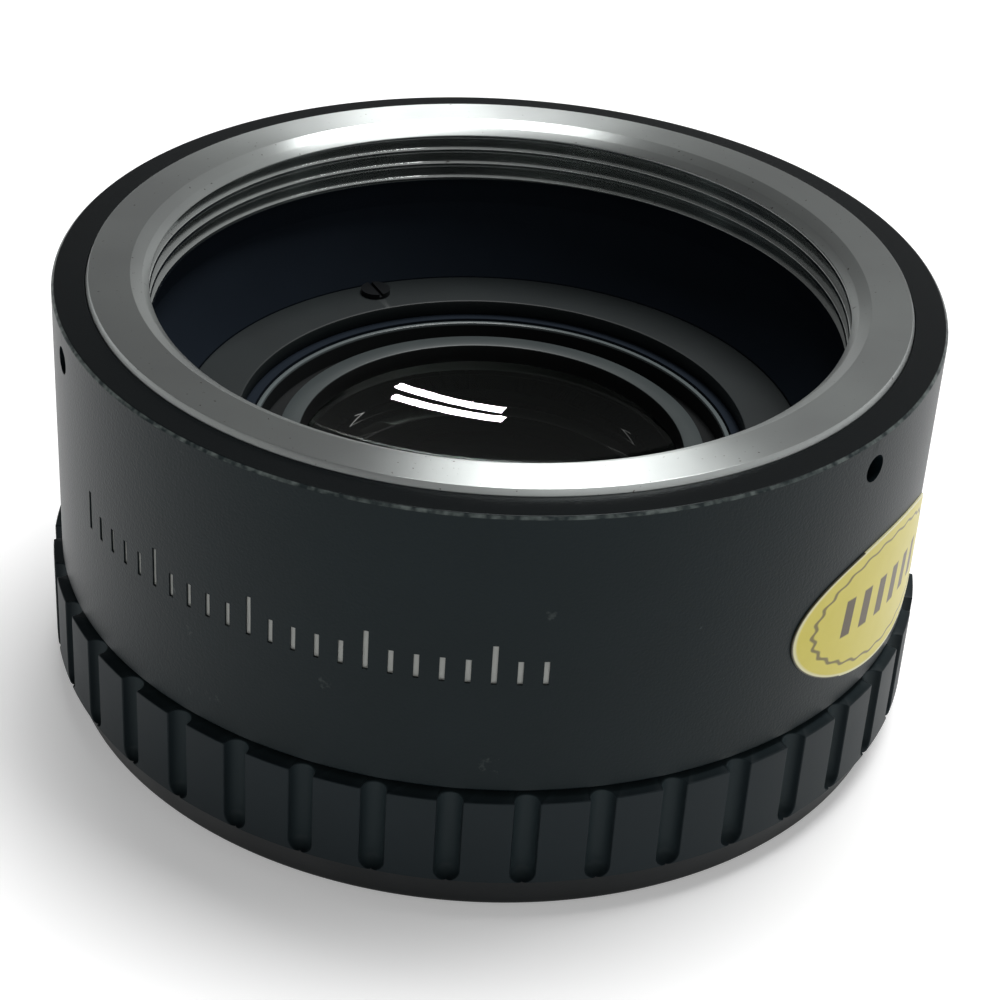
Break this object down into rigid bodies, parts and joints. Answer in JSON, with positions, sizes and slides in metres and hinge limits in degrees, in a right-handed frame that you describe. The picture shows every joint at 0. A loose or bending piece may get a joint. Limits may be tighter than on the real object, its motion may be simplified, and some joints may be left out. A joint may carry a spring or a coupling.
{
  "type": "teleconverter",
  "caption": "Short black cylindrical lens converter with a bright threaded front ring, a recessed glass group and a fluted screw-on rear cap.",
  "frame": {"origin": "centre of the rear cap's flat underside, on the optical axis", "axes": "+Z along the optical axis, up towards the front mount; -Y towards the viewer of the picture; +X to the viewer's right"},
  "size_m": [0.0532, 0.0532, 0.0263],
  "materials": {
    "cap_plastic": "moulded black plastic, satin",
    "bright_mount": "turned and satin chromed brass, with fine circular tool lines",
    "black_matt_metal": "matt black anodised, light-trapping",
    "black_satin_metal": "satin black anodised",
    "black_anodised": "fine blasted and black anodised, satin",
    "dark_steel": "blackened steel screws",
    "coated_glass": "polished optical glass with a thin anti-reflection coating",
    "sticker_paper": "yellow coated paper sticker, slightly glossy"
  },
  "bodies": {
    "cap": {"rear_cap": "cap_plastic"},
    "converter": {"rear_mount": "bright_mount", "rear_baffle": "black_matt_metal", "outer_barrel": "black_anodised", "front_mount_ring": "bright_mount", "inner_housing": "black_matt_metal", "front_plate": "black_matt_metal", "lens_cell": "black_satin_metal", "cell_lock_ring": "black_satin_metal", "front_retaining_ring": "black_satin_metal", "rear_retaining_ring": "black_satin_metal", "lens_spacer": "black_satin_metal", "inspection_sticker": "sticker_paper", "flange_screw_1": "dark_steel", "flange_screw_2": "dark_steel", "flange_screw_3": "dark_steel", "flange_screw_4": "dark_steel", "grub_screw_1": "dark_steel", "grub_screw_2": "dark_steel", "grub_screw_3": "dark_steel", "plate_screw_1": "dark_steel", "plate_screw_2": "dark_steel", "plate_screw_3": "dark_steel", "lens_element_1": "coated_glass", "lens_element_2": "coated_glass", "lens_element_3": "coated_glass", "lens_element_4": "coated_glass"}
  },
  "joints": [
    {"name": "cap_release", "type": "slide", "parent": "cap", "child": "converter", "axis": [0, 0, 1], "range_m": [0, 0.012]}
  ]
}
